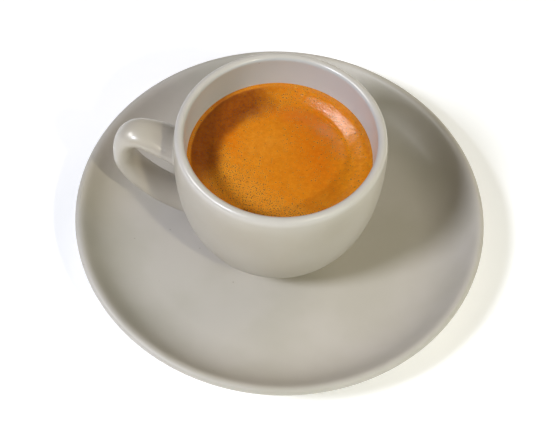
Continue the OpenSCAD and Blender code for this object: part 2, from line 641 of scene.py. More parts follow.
def bezier(controls: Array, steps: int) -> Array:
    """Cubic curve through the first and last control, pulled towards the two between.

    The point at share t is (1-t)^3 A + 3(1-t)^2 t B + 3(1-t)t^2 C + t^3 D.

    Args:
        controls: The four controls, one to a row.
        steps: Number of steps.

    Returns:
        steps + 1 points.
    """
    t = np.linspace(0.0, 1.0, steps + 1)[:, None]
    weights = np.hstack([(1 - t) ** 3, 3 * (1 - t) ** 2 * t, 3 * (1 - t) * t**2, t**3])
    return weights @ np.asarray(controls, dtype=float)


def arc(centre: Array, radius: float, start: float, end: float, steps: int) -> Array:
    """Part of a circle, from one angle to the other in degrees.

    Args:
        centre: Its centre.
        radius: Its radius.
        start: First angle.
        end: Last angle.
        steps: Number of steps.

    Returns:
        steps + 1 points.
    """
    angle = np.radians(np.linspace(start, end, steps + 1))
    return np.asarray(centre) + radius * np.column_stack([np.cos(angle), np.sin(angle)])


def level(start: float, end: float, z: float, count: int) -> Array:
    """A flat stretch of a profile: that many points from one distance to the other, at one height."""
    return np.column_stack([np.linspace(start, end, count), np.full(count, z)])


def as_faces(*corners: Array) -> list[tuple[int, ...]]:
    """Faces from one array for each corner, that holds the numbers of the points there."""
    stacked = np.stack(corners, axis=-1)
    return [tuple(face) for face in stacked.reshape(-1, len(corners)).tolist()]


def closed_tube(rings: Array, ends: Array) -> Surface:
    """Join rings of points into a tube, and close each end to a single point with a fan.

    Args:
        rings: The points: rings, points round a ring, coordinates.
        ends: The two points that close it, at the first ring and at the last.

    Returns:
        The closed surface, outwards where rings that run upwards turn anticlockwise.
    """
    count, sides = rings.shape[:2]
    row, column = np.meshgrid(np.arange(count - 1) * sides, np.arange(sides), indexing="ij")
    after = (column + 1) % sides
    wall = as_faces(row + column, row + after, row + sides + after, row + sides + column)
    here = np.arange(sides)
    after, last = (here + 1) % sides, (count - 1) * sides
    closing = count * sides
    fans = (as_faces(np.full(sides, closing), after, here)
            + as_faces(np.full(sides, closing + 1), last + here, last + after))
    return Surface(np.vstack([rings.reshape(-1, 3), ends]), wall + fans)


def turned(profile: Array, axis_x: float, segments: int) -> Surface:
    """Carry a profile round a vertical axis.

    A point at distance r and height z goes to (axis + r cos a, r sin a, z) at each of the angles a. The
    profile's first and last points are on the axis and close as single points.

    Args:
        profile: Distance and height of each point, with the solid on the left as it runs.
        axis_x: Where the axis stands on X.
        segments: Steps round.

    Returns:
        The closed surface.
    """
    angle = np.linspace(0.0, 2 * math.pi, segments, endpoint=False)
    ring = profile[1:-1]
    x = axis_x + ring[:, :1] * np.cos(angle)
    y = ring[:, :1] * np.sin(angle)
    z = np.broadcast_to(ring[:, 1:], x.shape)
    ends = np.array([[axis_x, 0.0, profile[0, 1]], [axis_x, 0.0, profile[-1, 1]]])
    return closed_tube(np.stack([x, y, z], axis=-1), ends)


def ripple(x: Array, y: Array, size: float, waves: int, seed: int) -> Array:
    """Smooth random relief: the mean of cosine waves that run all ways, each about size long.

    Args:
        x: Where it is read.
        y: Where it is read.
        size: Length of a wave.
        waves: Number of waves.
        seed: Seed of their directions and phases.

    Returns:
        The relief, about -1 to 1.
    """
    rng = np.random.default_rng(seed)
    total = np.zeros_like(x)
    for heading, phase, stretch in rng.uniform(0.0, 1.0, (waves, 3)):
        pitch = 2 * math.pi / (size * (0.7 + 0.6 * stretch))
        way = 2 * math.pi * heading
        total += np.cos(pitch * (x * math.cos(way) + y * math.sin(way)) + 2 * math.pi * phase)
    return total / math.sqrt(waves / 2)


def smooth(value: Array, low: float, high: float) -> Array:
    """Smooth step from 0 at low to 1 at high, by 3s^2 - 2s^3 of the share s."""
    share = np.clip((value - low) / (high - low), 0.0, 1.0)
    return share * share * (3 - 2 * share)


# ---------------------------------------------------------------------------------------------------------
# The saucer
# ---------------------------------------------------------------------------------------------------------


@dataclass
class Saucer:
    """Shallow saucer: a flat well, a rise in one S-shaped sweep and a rounded lip.

    Attributes:
        segments: Steps round.
        well_radius: Where the well ends and the rise starts, in metres.
        floor_top: Height of the well.
        foot_height: Height of the foot ring.
        foot_radius: Its outer radius.
        foot_width: Width of its ring.
        foot_round: Radius of its lower edges.
        foot_blend: Radius of the fillet between its sides and the underside.
        under_start: How far outside the foot ring the underside starts to rise.
        lip_radius: Radius of the lip.
        slope_in: Slope of the upper face at the lip, in degrees.
        slope_out: Slope of the underside at the lip.
        rise_pull: Pull of the upper curve at the well, as a share of the rise's width.
        under_pull: The same for the underside.
        lip_pull: Pull of the upper curve at the lip.
        lip_pull_under: The same for the underside.
        low: Low corner of the record's box.
        high: High corner of it.
    """

    segments: int = 288
    well_radius: float = 44.5 * MM
    floor_top: float = 6.5 * MM
    foot_height: float = 2.5 * MM
    foot_radius: float = 35.0 * MM
    foot_width: float = 3.2 * MM
    foot_round: float = 0.5 * MM
    foot_blend: float = 0.8 * MM
    under_start: float = 3 * MM
    lip_radius: float = 1.3 * MM
    slope_in: float = 19.0
    slope_out: float = 60.0
    rise_pull: float = 0.66
    under_pull: float = 0.66
    lip_pull: float = 3.1 * MM
    lip_pull_under: float = 6 * MM
    low: Array = field(default_factory=lambda: np.array(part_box("saucer")[0]))
    high: Array = field(default_factory=lambda: np.array(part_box("saucer")[1]))

    @property
    def radius(self) -> float:
        """Radius over the lip."""
        return float(self.high[0] - self.low[0]) / 2

    def profile(self) -> Array:
        """The section, from the middle of the underside round the lip to the middle of the well.

        Returns:
            Distance and height of each point.
        """
        lip = np.array([self.radius - self.lip_radius, self.high[2] - self.lip_radius])
        slope_in, slope_out = math.radians(self.slope_in), math.radians(self.slope_out)
        top_end = lip + self.lip_radius * np.array([-math.sin(slope_in), math.cos(slope_in)])
        under_end = lip + self.lip_radius * np.array([math.sin(slope_out), -math.cos(slope_out)])
        foot_inner = self.foot_radius - self.foot_width
        edge, blend = self.foot_round, self.foot_blend
        under = bezier([
            [self.foot_radius + self.under_start, self.foot_height],
            [self.foot_radius + self.under_pull * (self.radius - self.foot_radius), self.foot_height],
            under_end - self.lip_pull_under * np.array([math.cos(slope_out), math.sin(slope_out)]),
            under_end,
        ], 36)
        top = bezier([
            top_end,
            top_end - self.lip_pull * np.array([math.cos(slope_in), math.sin(slope_in)]),
            [self.well_radius + self.rise_pull * (self.radius - self.well_radius), self.floor_top],
            [self.well_radius, self.floor_top],
        ], 44)
        foot = np.vstack([
            [[foot_inner - 2 * blend, self.foot_height]],
            arc([foot_inner - blend, self.foot_height - blend], blend, 90, 20, 4),
            arc([foot_inner + edge, edge], edge, 180, 270, 5),
            arc([self.foot_radius - edge, edge], edge, 270, 360, 5),
            arc([self.foot_radius + blend, self.foot_height - blend], blend, 160, 90, 4),
        ])
        inner_under = level(0, foot_inner - 3 * blend, self.foot_height, 8)
        well = level(self.well_radius, 0, self.floor_top, 16)[1:]
        lip_arc = arc(lip, self.lip_radius, self.slope_out - 90, self.slope_in + 90, 14)[1:-1]
        return np.vstack([inner_under, foot, under, lip_arc, top, well])

    def build(self) -> bpy.types.Object:
        """Turn the profile and dress it.

        Returns:
            The saucer.
        """
        surface = turned(self.profile(), 0.0, self.segments)
        finish = Glaze("saucer_glaze", foot_z=0.0, roughness=0.46, coat=0.04)
        made = surface.piece("saucer_glazed", finish.material(), Slot.CERAMIC)
        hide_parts("saucer")
        return made


# ---------------------------------------------------------------------------------------------------------
# The cup
# ---------------------------------------------------------------------------------------------------------


@dataclass
class CupBody:
    """Thick-walled round cup: a superelliptic bowl on a foot ring, drawn in a little to a rounded lip.

    Attributes:
        segments: Steps round.
        lip_radius: Radius of the lip, in metres.
        rim_narrower: How much the wall is drawn in at the lip.
        belly_drop: How far the widest place is under the top.
        foot_radius: Outer radius of the foot ring.
        foot_width: Width of its ring.
        foot_recess: How far the bottom is over its face.
        foot_round: Radius of its outer edge.
        foot_inner_round: Radius of its inner edge.
        bowl_closes: How far over the foot's face the outer superellipse would close.
        bowl_powers: Its powers, for height and for radius.
        inner_powers: The same for the inner wall.
        low: Low corner of the record's box.
        high: High corner of it.
        drink_floor: Height of the floor under the drink.
    """

    segments: int = 288
    lip_radius: float = 1.4 * MM
    rim_narrower: float = 0.55 * MM
    belly_drop: float = 7.8 * MM
    foot_radius: float = 18.5 * MM
    foot_width: float = 2.8 * MM
    foot_recess: float = 1.3 * MM
    foot_round: float = 0.6 * MM
    foot_inner_round: float = 0.4 * MM
    bowl_closes: float = 0.5 * MM
    bowl_powers: tuple[float, float] = (2.4, 3.7)
    inner_powers: tuple[float, float] = (1.8, 3.7)
    low: Array = field(default_factory=lambda: np.array(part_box("cup")[0]))
    high: Array = field(default_factory=lambda: np.array(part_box("cup")[1]))
    drink_floor: float = field(default_factory=lambda: float(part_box("espresso")[0][2]))

    @property
    def belly_radius(self) -> float:
        """Radius at the widest place."""
        return float(self.high[1] - self.low[1]) / 2

    @property
    def axis_x(self) -> float:
        """Where the cup's axis stands on X."""
        return float(self.high[0]) - self.belly_radius

    @property
    def foot_z(self) -> float:
        """Height of the foot ring's face."""
        return float(self.low[2])

    @property
    def belly_z(self) -> float:
        """Height of the widest place."""
        return float(self.high[2]) - self.belly_drop

    @property
    def lip(self) -> Array:
        """Centre of the round lip, as distance and height."""
        radius = self.belly_radius - self.rim_narrower - self.lip_radius
        return np.array([radius, self.high[2] - self.lip_radius])

    def bowl(
        self, radius: float, top: float, bottom: float, powers: tuple[float, float], angle: Array
    ) -> Array:
        """Superellipse that falls from the radius at the top to the axis at the bottom.

        At angle a the distance is radius cos(a)^(2/q) and the depth is (top - bottom) sin(a)^(2/p).

        Args:
            radius: Distance at the top.
            top: Height of the top.
            bottom: Height where it closes.
            powers: p and q.
            angle: The angles, from 0 at the top to a quarter turn.

        Returns:
            Distance and height of each point.
        """
        height_power, radius_power = powers
        distance = radius * np.cos(angle) ** (2 / radius_power)
        return np.column_stack([distance, top - (top - bottom) * np.sin(angle) ** (2 / height_power)])

    def outer_radius(self, z: Array) -> Array:
        """Radius of the outer wall at each height.

        Args:
            z: Heights.

        Returns:
            The radii: the superellipse below the belly, a parabola above it.
        """
        height_power, radius_power = self.bowl_powers
        depth = self.belly_z - self.foot_z - self.bowl_closes
        share = np.clip((self.belly_z - z) / depth, 0.0, 1.0)
        below = self.belly_radius * (1 - share**height_power) ** (1 / radius_power)
        rise = np.clip((z - self.belly_z) / (self.lip[1] - self.belly_z), 0.0, 1.0)
        return below - self.rim_narrower * rise**2

    def inner_radius(self, z: Array) -> Array:
        """Radius of the inner wall at each height.

        Args:
            z: Heights.

        Returns:
            The radii.
        """
        height_power, radius_power = self.inner_powers
        share = np.clip((self.lip[1] - z) / (self.lip[1] - self.drink_floor), 0.0, 1.0)
        return (self.lip[0] - self.lip_radius) * (1 - share**height_power) ** (1 / radius_power)

    def profile(self) -> Array:
        """The section, from the middle of the underside over the lip to the middle of the floor.

        Returns:
            Distance and height of each point.
        """
        foot_angle = math.acos((self.foot_radius / self.belly_radius) ** (self.bowl_powers[1] / 2))
        edge, inner_edge = self.foot_round, self.foot_inner_round
        inner_foot = self.foot_radius - self.foot_width
        underside = level(0, inner_foot - edge, self.foot_z + self.foot_recess, 6)
        foot = np.vstack([
            arc([inner_foot + inner_edge, self.foot_z + inner_edge], inner_edge, 180, 270, 4),
            arc([self.foot_radius - edge, self.foot_z + edge], edge, 270, 360, 5),
        ])
        outer = self.bowl(self.belly_radius, self.belly_z, self.foot_z + self.bowl_closes, self.bowl_powers,
                          np.linspace(foot_angle, 0.0, 60))
        rise = np.linspace(0.0, 1.0, 12)[1:]
        neck = np.column_stack([
            self.belly_radius - self.rim_narrower * rise**2,
            self.belly_z + (self.lip[1] - self.belly_z) * rise,
        ])
        lip = arc(self.lip, self.lip_radius, 0, 180, 18)[1:-1]
        inner = self.bowl(self.lip[0] - self.lip_radius, self.lip[1], self.drink_floor, self.inner_powers,
                          np.linspace(0.0, math.pi / 2, 56))
        inner[-1, 0] = 0.0
        return np.vstack([underside, foot, outer, neck, lip, inner])

    def surface(self) -> Surface:
        """The body without its handle."""
        return turned(self.profile(), self.axis_x, self.segments)


@dataclass
class Handle:
    """Loop handle: a flat strap that leaves the wall under the rim, bends over and runs back in low down.

    Attributes:
        cup: The body that it is fixed to.
        rings: Free rings to an arm.
        root_rings: Rings to a root.
        sides: Points round a ring.
        width: Width of the strap, in metres.
        thickness: Its thickness.
        section_power: Power of its superelliptic section.
        root_width: Its width at the upper root.
        root_thinner: How much thinner it is there.
        lower_wider: How much wider it is at the lower root.
        flares: Share of an arm along which each root's change fades out.
        bend_narrower: How much narrower it is at the bend.
        bend_at: Where the bend is, as a share of the upper arm.
        bend_spread: How far the narrowing spreads, in the same measure.
        upper_drop: How far the upper joint is under the cup's top.
        lower_height: How far the lower joint is over its foot.
        tip_share: Height of the tip, as a share of the way from the lower joint to the upper.
        sunk: How deep the path's ends are in the wall.
        upper_pull: Pull of the path at the upper wall: share of the way out, and rise.
        lower_pull: The same at the lower wall.
        over_tip: Pull over the tip, as a share of the height between the joints.
        under_tip: Pull under the tip, in the same measure.
        fillet: Width of each root's fillet, across the strap and through it.
        clear_of_wall: How far from the wall each arm's free rings end.
        leave_pull: Pull of a root's curve where it leaves the strap, as a share of its length.
        arrive_pull: Pull where it meets the wall, as a share of the fillet.
        sunk_wider: How much wider the last ring is, inside the wall.
        sunk_deeper: How deep that ring is in the wall.
    """

    cup: CupBody
    rings: int = 44
    root_rings: int = 12
    sides: int = 56
    width: float = 11.0 * MM
    thickness: float = 6.5 * MM
    section_power: float = 2.0
    root_width: float = 14.6 * MM
    root_thinner: float = 1.2 * MM
    lower_wider: float = 2.4 * MM
    flares: dict[Arm, float] = field(default_factory=lambda: {Arm.UPPER: 0.62, Arm.LOWER: 0.38})
    bend_narrower: float = 1.8 * MM
    bend_at: float = 0.92
    bend_spread: float = 0.42
    upper_drop: float = 13.5 * MM
    lower_height: float = 8.5 * MM
    tip_share: float = 0.755
    sunk: dict[Arm, float] = field(default_factory=lambda: {Arm.UPPER: 2.1 * MM, Arm.LOWER: 4.3 * MM})
    upper_pull: tuple[float, float] = (0.375, 2 * MM)
    lower_pull: tuple[float, float] = (0.548, -1.3 * MM)
    over_tip: float = 0.673
    under_tip: float = 0.217
    fillet: dict[Arm, tuple[float, float]] = field(
        default_factory=lambda: {Arm.UPPER: (0.7 * MM, 1.3 * MM), Arm.LOWER: (1.6 * MM, 2.2 * MM)})
    clear_of_wall: dict[Arm, float] = field(
        default_factory=lambda: {Arm.UPPER: 3.4 * MM, Arm.LOWER: 3.6 * MM})
    leave_pull: float = 0.9
    arrive_pull: float = 1.7
    sunk_wider: float = 0.9 * MM
    sunk_deeper: float = 0.35 * MM

    @property
    def joints(self) -> dict[Arm, float]:
        """Height of the middle of each joint."""
        return {
            Arm.UPPER: float(self.cup.high[2]) - self.upper_drop,
            Arm.LOWER: self.cup.foot_z + self.lower_height,
        }

    def path(self) -> tuple[Array, Array]:
        """The strap's middle line, as distance from the cup's axis and height.

        Returns:
            The upper arm, out from the wall to the tip, and the lower arm, from the tip back to the wall.
        """
        upper_z, lower_z = self.joints[Arm.UPPER], self.joints[Arm.LOWER]
        gap = upper_z - lower_z
        reach = self.cup.axis_x - float(self.cup.low[0])
        tip = np.array([reach - self.thickness / 2, lower_z + self.tip_share * gap])
        wall = self.cup.outer_radius(np.array([upper_z, lower_z]))
        start = np.array([float(wall[0]) - self.sunk[Arm.UPPER], upper_z])
        end = np.array([float(wall[1]) - self.sunk[Arm.LOWER], lower_z])
        out, rise = self.upper_pull
        back, dip = self.lower_pull
        upper = [start, start + [out * (tip[0] - start[0]), rise], tip + [0, self.over_tip * gap], tip]
        lower = [tip, tip - [0, self.under_tip * gap], end + [back * (tip[0] - end[0]), dip], end]
        steps = self.rings * 4
        return bezier(upper, steps), bezier(lower, steps)

    def section(self, widths: Array, thicknesses: Array) -> tuple[Array, Array]:
        """Superellipses of the given sizes.

        Across is w/2 |sin|^(2/p) and through is t/2 |cos|^(2/p), each with its sign.

        Args:
            widths: Width of each ring.
            thicknesses: Thickness of each ring.

        Returns:
            Offsets across the strap and through it, one row to a ring.
        """
        angle = np.linspace(0.0, 2 * math.pi, self.sides, endpoint=False)
        power = 2 / self.section_power
        across = np.sign(np.sin(angle)) * np.abs(np.sin(angle)) ** power / 2
        through = np.sign(np.cos(angle)) * np.abs(np.cos(angle)) ** power / 2
        return widths[:, None] * across, thicknesses[:, None] * through

    def on_wall(self, y: Array, z: Array) -> Array:
        """Points of the cup's outer wall on the handle's side, given Y and Z."""
        x = self.cup.axis_x - np.sqrt(self.cup.outer_radius(z) ** 2 - y**2)
        return np.stack([x, y, z], axis=-1)

    def root(self, arm: Arm, free: Array, way: Array, across: Array, through: Array) -> Array:
        """Rings that carry a free ring of the strap into the wall with a round fillet.

        Each is a Hermite curve: it leaves the free ring along the strap, and it meets the wall tangent to
        it, at the strap's own section grown by the fillet.

        Args:
            arm: Which end.
            free: The free ring's points.
            way: The strap's direction there, towards the wall.
            across: The section's offsets across the strap.
            through: Its offsets through the strap, upwards.

        Returns:
            The rings, from the free one to one that is sunk in the wall.
        """
        grow_across, grow_through = self.fillet[arm]
        length = np.hypot(across, through)
        unit_y, unit_z = across / length, through / length
        fillet = np.hypot(unit_y * grow_across, unit_z * grow_through)

        def foot(extra: float) -> Array:
            """Find the root's footprint on the wall: the section, grown by the fillet.

            Args:
                extra: How much more fillet it has.

            Returns:
                Its points.
            """
            y = across + unit_y * (fillet + extra)
            z = self.joints[arm] + through + unit_z * (fillet + extra)
            return self.on_wall(y, z)

        end = foot(0.0)
        outward = foot(0.05 * MM) - end
        outward /= np.linalg.norm(outward, axis=-1, keepdims=True)
        span = np.linalg.norm(end - free, axis=-1, keepdims=True)
        t = np.linspace(0.0, 1.0, self.root_rings + 1)[1:, None, None]
        leave = way * span * self.leave_pull
        arrive = outward * (fillet[:, None] * self.arrive_pull)
        curve = ((2 * t**3 - 3 * t**2 + 1) * free + (t**3 - 2 * t**2 + t) * leave
                 + (3 * t**2 - 2 * t**3) * end + (t**3 - t**2) * arrive)
        sunk = foot(self.sunk_wider) + [self.sunk_deeper, 0.0, 0.0]
        return np.concatenate([curve, sunk[None]])

    def surface(self) -> Surface:
        """Free rings along the path, with a root at each end.

        Returns:
            The handle, whose ends close inside the wall.
        """
        upper, lower = self.path()
        line = np.vstack([upper, lower[1:]])
        wall = self.cup.outer_radius(line[:, 1])
        half = len(upper) - 1
        first = int(np.argmax(line[:, 0] > wall + self.clear_of_wall[Arm.UPPER]))
        last = len(line) - 1 - int(np.argmax((line[:, 0] > wall + self.clear_of_wall[Arm.LOWER])[::-1]))
        chosen = np.unique(np.linspace(first, last, 2 * self.rings).astype(int))
        along = np.gradient(line, axis=0)
        along /= np.linalg.norm(along, axis=1, keepdims=True)
        out = chosen / half
        back = (len(line) - 1 - chosen) / half
        up_share = np.clip(1 - out / self.flares[Arm.UPPER], 0.0, 1.0) ** 2
        down_share = np.clip(1 - back / self.flares[Arm.LOWER], 0.0, 1.0) ** 2
        bend = np.exp(-(((out - self.bend_at) / self.bend_spread) ** 2))
        widths = (self.width + (self.root_width - self.width) * up_share + self.lower_wider * down_share
                  - self.bend_narrower * bend)
        across, through = self.section(widths, self.thickness - self.root_thinner * up_share)
        centre, way = line[chosen], along[chosen]
        normal = np.column_stack([-way[:, 1], way[:, 0]])
        distance = centre[:, :1] + normal[:, :1] * through
        height = centre[:, 1:] + normal[:, 1:] * through
        free = np.stack([self.cup.axis_x - distance, across, height], axis=-1)
        upper_way = np.array([way[0, 0], 0.0, -way[0, 1]])
        lower_way = np.array([-way[-1, 0], 0.0, way[-1, 1]])
        upper_root = self.root(Arm.UPPER, free[0], upper_way, across[0], through[0])
        lower_root = self.root(Arm.LOWER, free[-1], lower_way, across[-1], -through[-1])
        rings = np.concatenate([upper_root[::-1], free, lower_root])
        ends = np.stack([rings[0].mean(axis=0), rings[-1].mean(axis=0)]) + [[0.5 * MM, 0, 0]]
        return closed_tube(rings, ends)


@dataclass
class Cup:
    """The cup: its body and its handle in one piece.

    Attributes:
        body: The body that the handle is fixed to.
    """

    body: CupBody = field(default_factory=CupBody)

    def build(self) -> bpy.types.Object:
        """Join the handle to the body and dress them.

        Returns:
            The cup.
        """
        handle = Handle(self.body)
        surface = self.body.surface().joined(handle.surface())
        lip = self.body.lip
        # Where the painted light inside the bowl and the painted highlight on the lip go.
        bowl = BowlPaintedLight(
            axis_x=self.body.axis_x,
            wall=float(lip[0] - self.body.lip_radius),
            level=float(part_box("espresso")[1][2]),
            top=float(self.body.high[2]),
        )
        # Painted shade: the cup's glaze and its thinner tone are the saucer's glaze set a little darker.
        finish = Glaze("cup_glaze", self.body.foot_z, (0.52, 0.475, 0.405), (0.49, 0.44, 0.36), bowl=bowl)
        made = surface.piece("cup_glazed", finish.material(), Slot.CERAMIC)
        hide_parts("cup")
        return made


# ---------------------------------------------------------------------------------------------------------
# The espresso
# ---------------------------------------------------------------------------------------------------------


@dataclass(frozen=True)
class Holes:
    """Pin holes of the crema: one candidate to a cell, jittered, of its own size, there or not by lot.

    Attributes:
        cell: Width of a cell, in metres.
        smallest: Radius of the smallest hole.
        largest: Radius of the largest.
        share: How many cells have one where the froth is coarsest.
        seed: Seed of the lots.
    """

    cell: float
    smallest: float
    largest: float
    share: float
    seed: int

    def depth(self, x: Array, y: Array, density: Array, reach: float) -> Array:
        """How deep in a hole each point lies: (1 - (d/radius)^2)^2 from its middle outwards.

        Args:
            x: Where it is read.
            y: Where it is read.
            density: How much of the share is there at each point.
            reach: Half the width of the field that the cells cover.

        Returns:
            0 outside every hole, 1 in the middle of one.
        """
        count = int(2 * reach / self.cell) + 3
        rng = np.random.default_rng(self.seed)
        jitter_x, jitter_y, lot, size = rng.uniform(0.0, 1.0, (4, count, count))
        radius = self.smallest + (self.largest - self.smallest) * size**3
        column = ((x + reach) / self.cell).astype(int) + 1
        row = ((y + reach) / self.cell).astype(int) + 1
        deepest = np.zeros_like(x)
        for step_x in (-1, 0, 1):
            for step_y in (-1, 0, 1):
                c, r = np.clip(column + step_x, 0, count - 1), np.clip(row + step_y, 0, count - 1)
                centre_x = (c - 1 + jitter_x[r, c]) * self.cell - reach
                centre_y = (r - 1 + jitter_y[r, c]) * self.cell - reach
                distance = np.hypot(x - centre_x, y - centre_y) / radius[r, c]
                there = lot[r, c] < self.share * density
                deepest = np.maximum(deepest, np.where(there, np.clip(1 - distance**2, 0.0, 1.0) ** 2, 0.0))
        return deepest


@dataclass(frozen=True)
class Spot:
    """A soft oval spot on the unit disc: strength exp(-(u/wide)^2 - (v/deep)^2), with u and v turned.

    Attributes:
        at: Its middle.
        wide: Half width along its own axis.
        deep: Half width across it.
        turn: How far the axis is turned, in degrees.
        strength: Its value in the middle.
    """

    at: tuple[float, float]
    wide: float
    deep: float
    turn: float = 0.0
    strength: float = 1.0

    def value(self, x: Array, y: Array) -> Array:
        """Work out the spot.

        Args:
            x: X on the unit disc.
            y: Y on the unit disc.

        Returns:
            Its value at each point.
        """
        c, s = math.cos(math.radians(self.turn)), math.sin(math.radians(self.turn))
        x, y = x - self.at[0], y - self.at[1]
        u, v = (x * c + y * s) / self.wide, (y * c - x * s) / self.deep
        return np.exp(-(u**2) - v**2) * self.strength


RUSTY_SPOTS = (
    Spot((0.42, 0.18), 0.34, 0.62, 20, 0.9),
    Spot((0.0, 0.62), 0.50, 0.14, 0, 0.6),
    Spot((-0.62, 0.30), 0.14, 0.50, 25, 0.8),
)
FROTHY_SPOTS = (
    Spot((-0.36, -0.46), 0.62, 0.24, -38),
    Spot((0.20, -0.74), 0.42, 0.18, 5, 0.9),
    Spot((-0.22, 0.18), 0.34, 0.30, 0, 0.55),
)
# Painted light on the bank away from the handle, where the wall's shadow falls.
PAINTED_LIGHT_SPOTS = (Spot((0.80, -0.10), 0.20, 0.52, 8),)
PITTED_SPOTS = (
    Spot((-0.34, -0.42), 0.66, 0.22, -38, 1.2),
    Spot((0.22, -0.72), 0.40, 0.15, 5, 0.9),
    Spot((-0.30, 0.62), 0.52, 0.12, 28, 0.8),
    Spot((0.45, 0.40), 0.30, 0.30, 0, 0.35),
    Spot((0.10, 0.85), 0.40, 0.10, 0, 0.3),
    Spot((-0.52, 0.50), 0.34, 0.07, 45, 1.2),
    Spot((-0.66, -0.12), 0.12, 0.30, 0, 0.9),
)


@dataclass
class Espresso:
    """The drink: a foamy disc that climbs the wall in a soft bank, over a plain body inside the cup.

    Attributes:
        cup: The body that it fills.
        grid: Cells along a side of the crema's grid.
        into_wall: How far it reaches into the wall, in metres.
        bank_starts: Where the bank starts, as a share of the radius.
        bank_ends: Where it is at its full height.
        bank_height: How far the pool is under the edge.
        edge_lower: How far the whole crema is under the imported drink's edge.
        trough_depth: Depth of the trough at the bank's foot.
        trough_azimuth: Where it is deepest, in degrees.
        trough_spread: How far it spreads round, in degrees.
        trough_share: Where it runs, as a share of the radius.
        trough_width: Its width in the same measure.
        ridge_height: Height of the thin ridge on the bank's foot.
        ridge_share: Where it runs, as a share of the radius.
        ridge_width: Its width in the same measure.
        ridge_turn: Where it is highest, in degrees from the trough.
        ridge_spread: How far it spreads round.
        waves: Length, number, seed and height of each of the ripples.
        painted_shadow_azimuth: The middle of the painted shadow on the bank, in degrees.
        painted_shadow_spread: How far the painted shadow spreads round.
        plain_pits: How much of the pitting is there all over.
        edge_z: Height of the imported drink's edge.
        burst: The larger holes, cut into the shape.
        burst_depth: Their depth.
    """

    cup: CupBody
    grid: int = 296
    into_wall: float = 0.25 * MM
    bank_starts: float = 0.745
    bank_ends: float = 0.97
    bank_height: float = 1.7 * MM
    edge_lower: float = 0.08 * MM
    trough_depth: float = 1.1 * MM
    trough_azimuth: float = 36.0
    trough_spread: float = 45.0
    trough_share: float = 0.76
    trough_width: float = 0.20
    ridge_height: float = 0.14 * MM
    ridge_share: float = 0.765
    ridge_width: float = 0.012
    ridge_turn: float = 17.0
    ridge_spread: float = 13.0
    waves: tuple[tuple[float, int, int, float], ...] = (
        (9 * MM, 14, 3, 0.05), (2.6 * MM, 24, 4, 0.014), (0.9 * MM, 40, 5, 0.010))
    painted_shadow_azimuth: float = 158.0
    painted_shadow_spread: float = 56.0
    plain_pits: float = 0.10
    edge_z: float = field(default_factory=lambda: float(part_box("espresso")[1][2]))
    burst: Holes = Holes(1.9 * MM, 0.16 * MM, 0.34 * MM, 0.40, 11)
    burst_depth: float = 0.09 * MM

    @property
    def radius(self) -> float:
        """Radius of the drink where its edge meets the wall."""
        return float(self.cup.inner_radius(np.array(self.edge_z)))

    def disc(self) -> tuple[Array, Array]:
        """An even grid on a disc: square rings turned into round ones, with equal cells all over.

        Returns:
            X and Y of the grid's points on the unit disc.
        """
        side = np.linspace(-1.0, 1.0, self.grid + 1)
        a, b = np.meshgrid(side, side, indexing="ij")
        wide = np.abs(a) >= np.abs(b)
        ring = np.where(wide, a, b)
        safe = np.where(ring == 0, 1.0, ring)
        turn = math.pi / 4 * np.where(wide, b, a) / safe
        x = ring * np.where(wide, np.cos(turn), np.sin(turn))
        y = ring * np.where(wide, np.sin(turn), np.cos(turn))
        return x, y

    def zones(self, x: Array, y: Array) -> dict[str, Array]:
        """Where the crema is rusty, frothy or full of holes, where its bank is folded, and where painted
        light brightens the bank and painted shadow darkens it.

        Args:
            x: X on the unit disc.
            y: Y on the unit disc.

        Returns:
            The share of each zone at each point.
        """
        share = np.hypot(x, y)
        # Painted shadow of the cup's wall, on the bank on the handle's side.
        turn = (np.degrees(np.arctan2(y, x)) - self.painted_shadow_azimuth) % 360
        turned_by = np.minimum(turn, 360 - turn)
        painted_wall_shadow = np.exp(-((turned_by / self.painted_shadow_spread) ** 4)) * smooth(share, 0.50, 0.75)
        zones = {
            "rusty": sum(spot.value(x, y) for spot in RUSTY_SPOTS),
            "frothy": sum(spot.value(x, y) for spot in FROTHY_SPOTS),
            # Painted light on the bank away from the handle.
            "painted_lit_bank": sum(spot.value(x, y) for spot in PAINTED_LIGHT_SPOTS),
            # Painted shadow on the bank on the handle's side.
            "painted_wall_shadow": painted_wall_shadow * (1 - smooth(share, 0.93, 0.965)),
            "pitted": sum(spot.value(x, y) for spot in PITTED_SPOTS) + self.plain_pits,
            "folded": smooth(share, 0.72, 0.80) * (1 - smooth(share, 0.93, 0.98)),
        }
        return {key: np.clip(zone, 0, 1.3) for key, zone in zones.items()}

    def relief(self, x: Array, y: Array) -> Array:
        """Height of the crema over its edge, below zero.

        The pool lies under the edge by the bank's height, plus a trough along the bank's foot on one side.
        A smooth step climbs from there to the edge. A thin ridge lies on the bank's foot, and slow and fine
        ripples lie over all but the edge.

        Args:
            x: Where it is read, from the cup's axis.
            y: Where it is read.

        Returns:
            The height.
        """
        share = np.hypot(x, y) / self.radius
        turn = np.degrees(np.arctan2(y, x)) - self.trough_azimuth
        turn = (turn + 180) % 360 - 180
        off_trough = (share - self.trough_share) / self.trough_width
        trough = np.exp(-((turn / self.trough_spread) ** 2) - off_trough**2)
        off_ridge = (share - self.ridge_share) / self.ridge_width
        round_ridge = (turn - self.ridge_turn) / self.ridge_spread
        ridge = np.exp(-(off_ridge**2) - round_ridge**2) * self.ridge_height
        edge = smooth(share, self.bank_starts, self.bank_ends)
        pool = (self.bank_height + self.trough_depth * trough) * (1 - edge)
        waves = sum(ripple(x, y, size, count, seed) * high for size, count, seed, high in self.waves) * MM
        calm = 1 - smooth(share, 0.95, 1.0)
        return waves * calm + ridge - pool - self.edge_lower

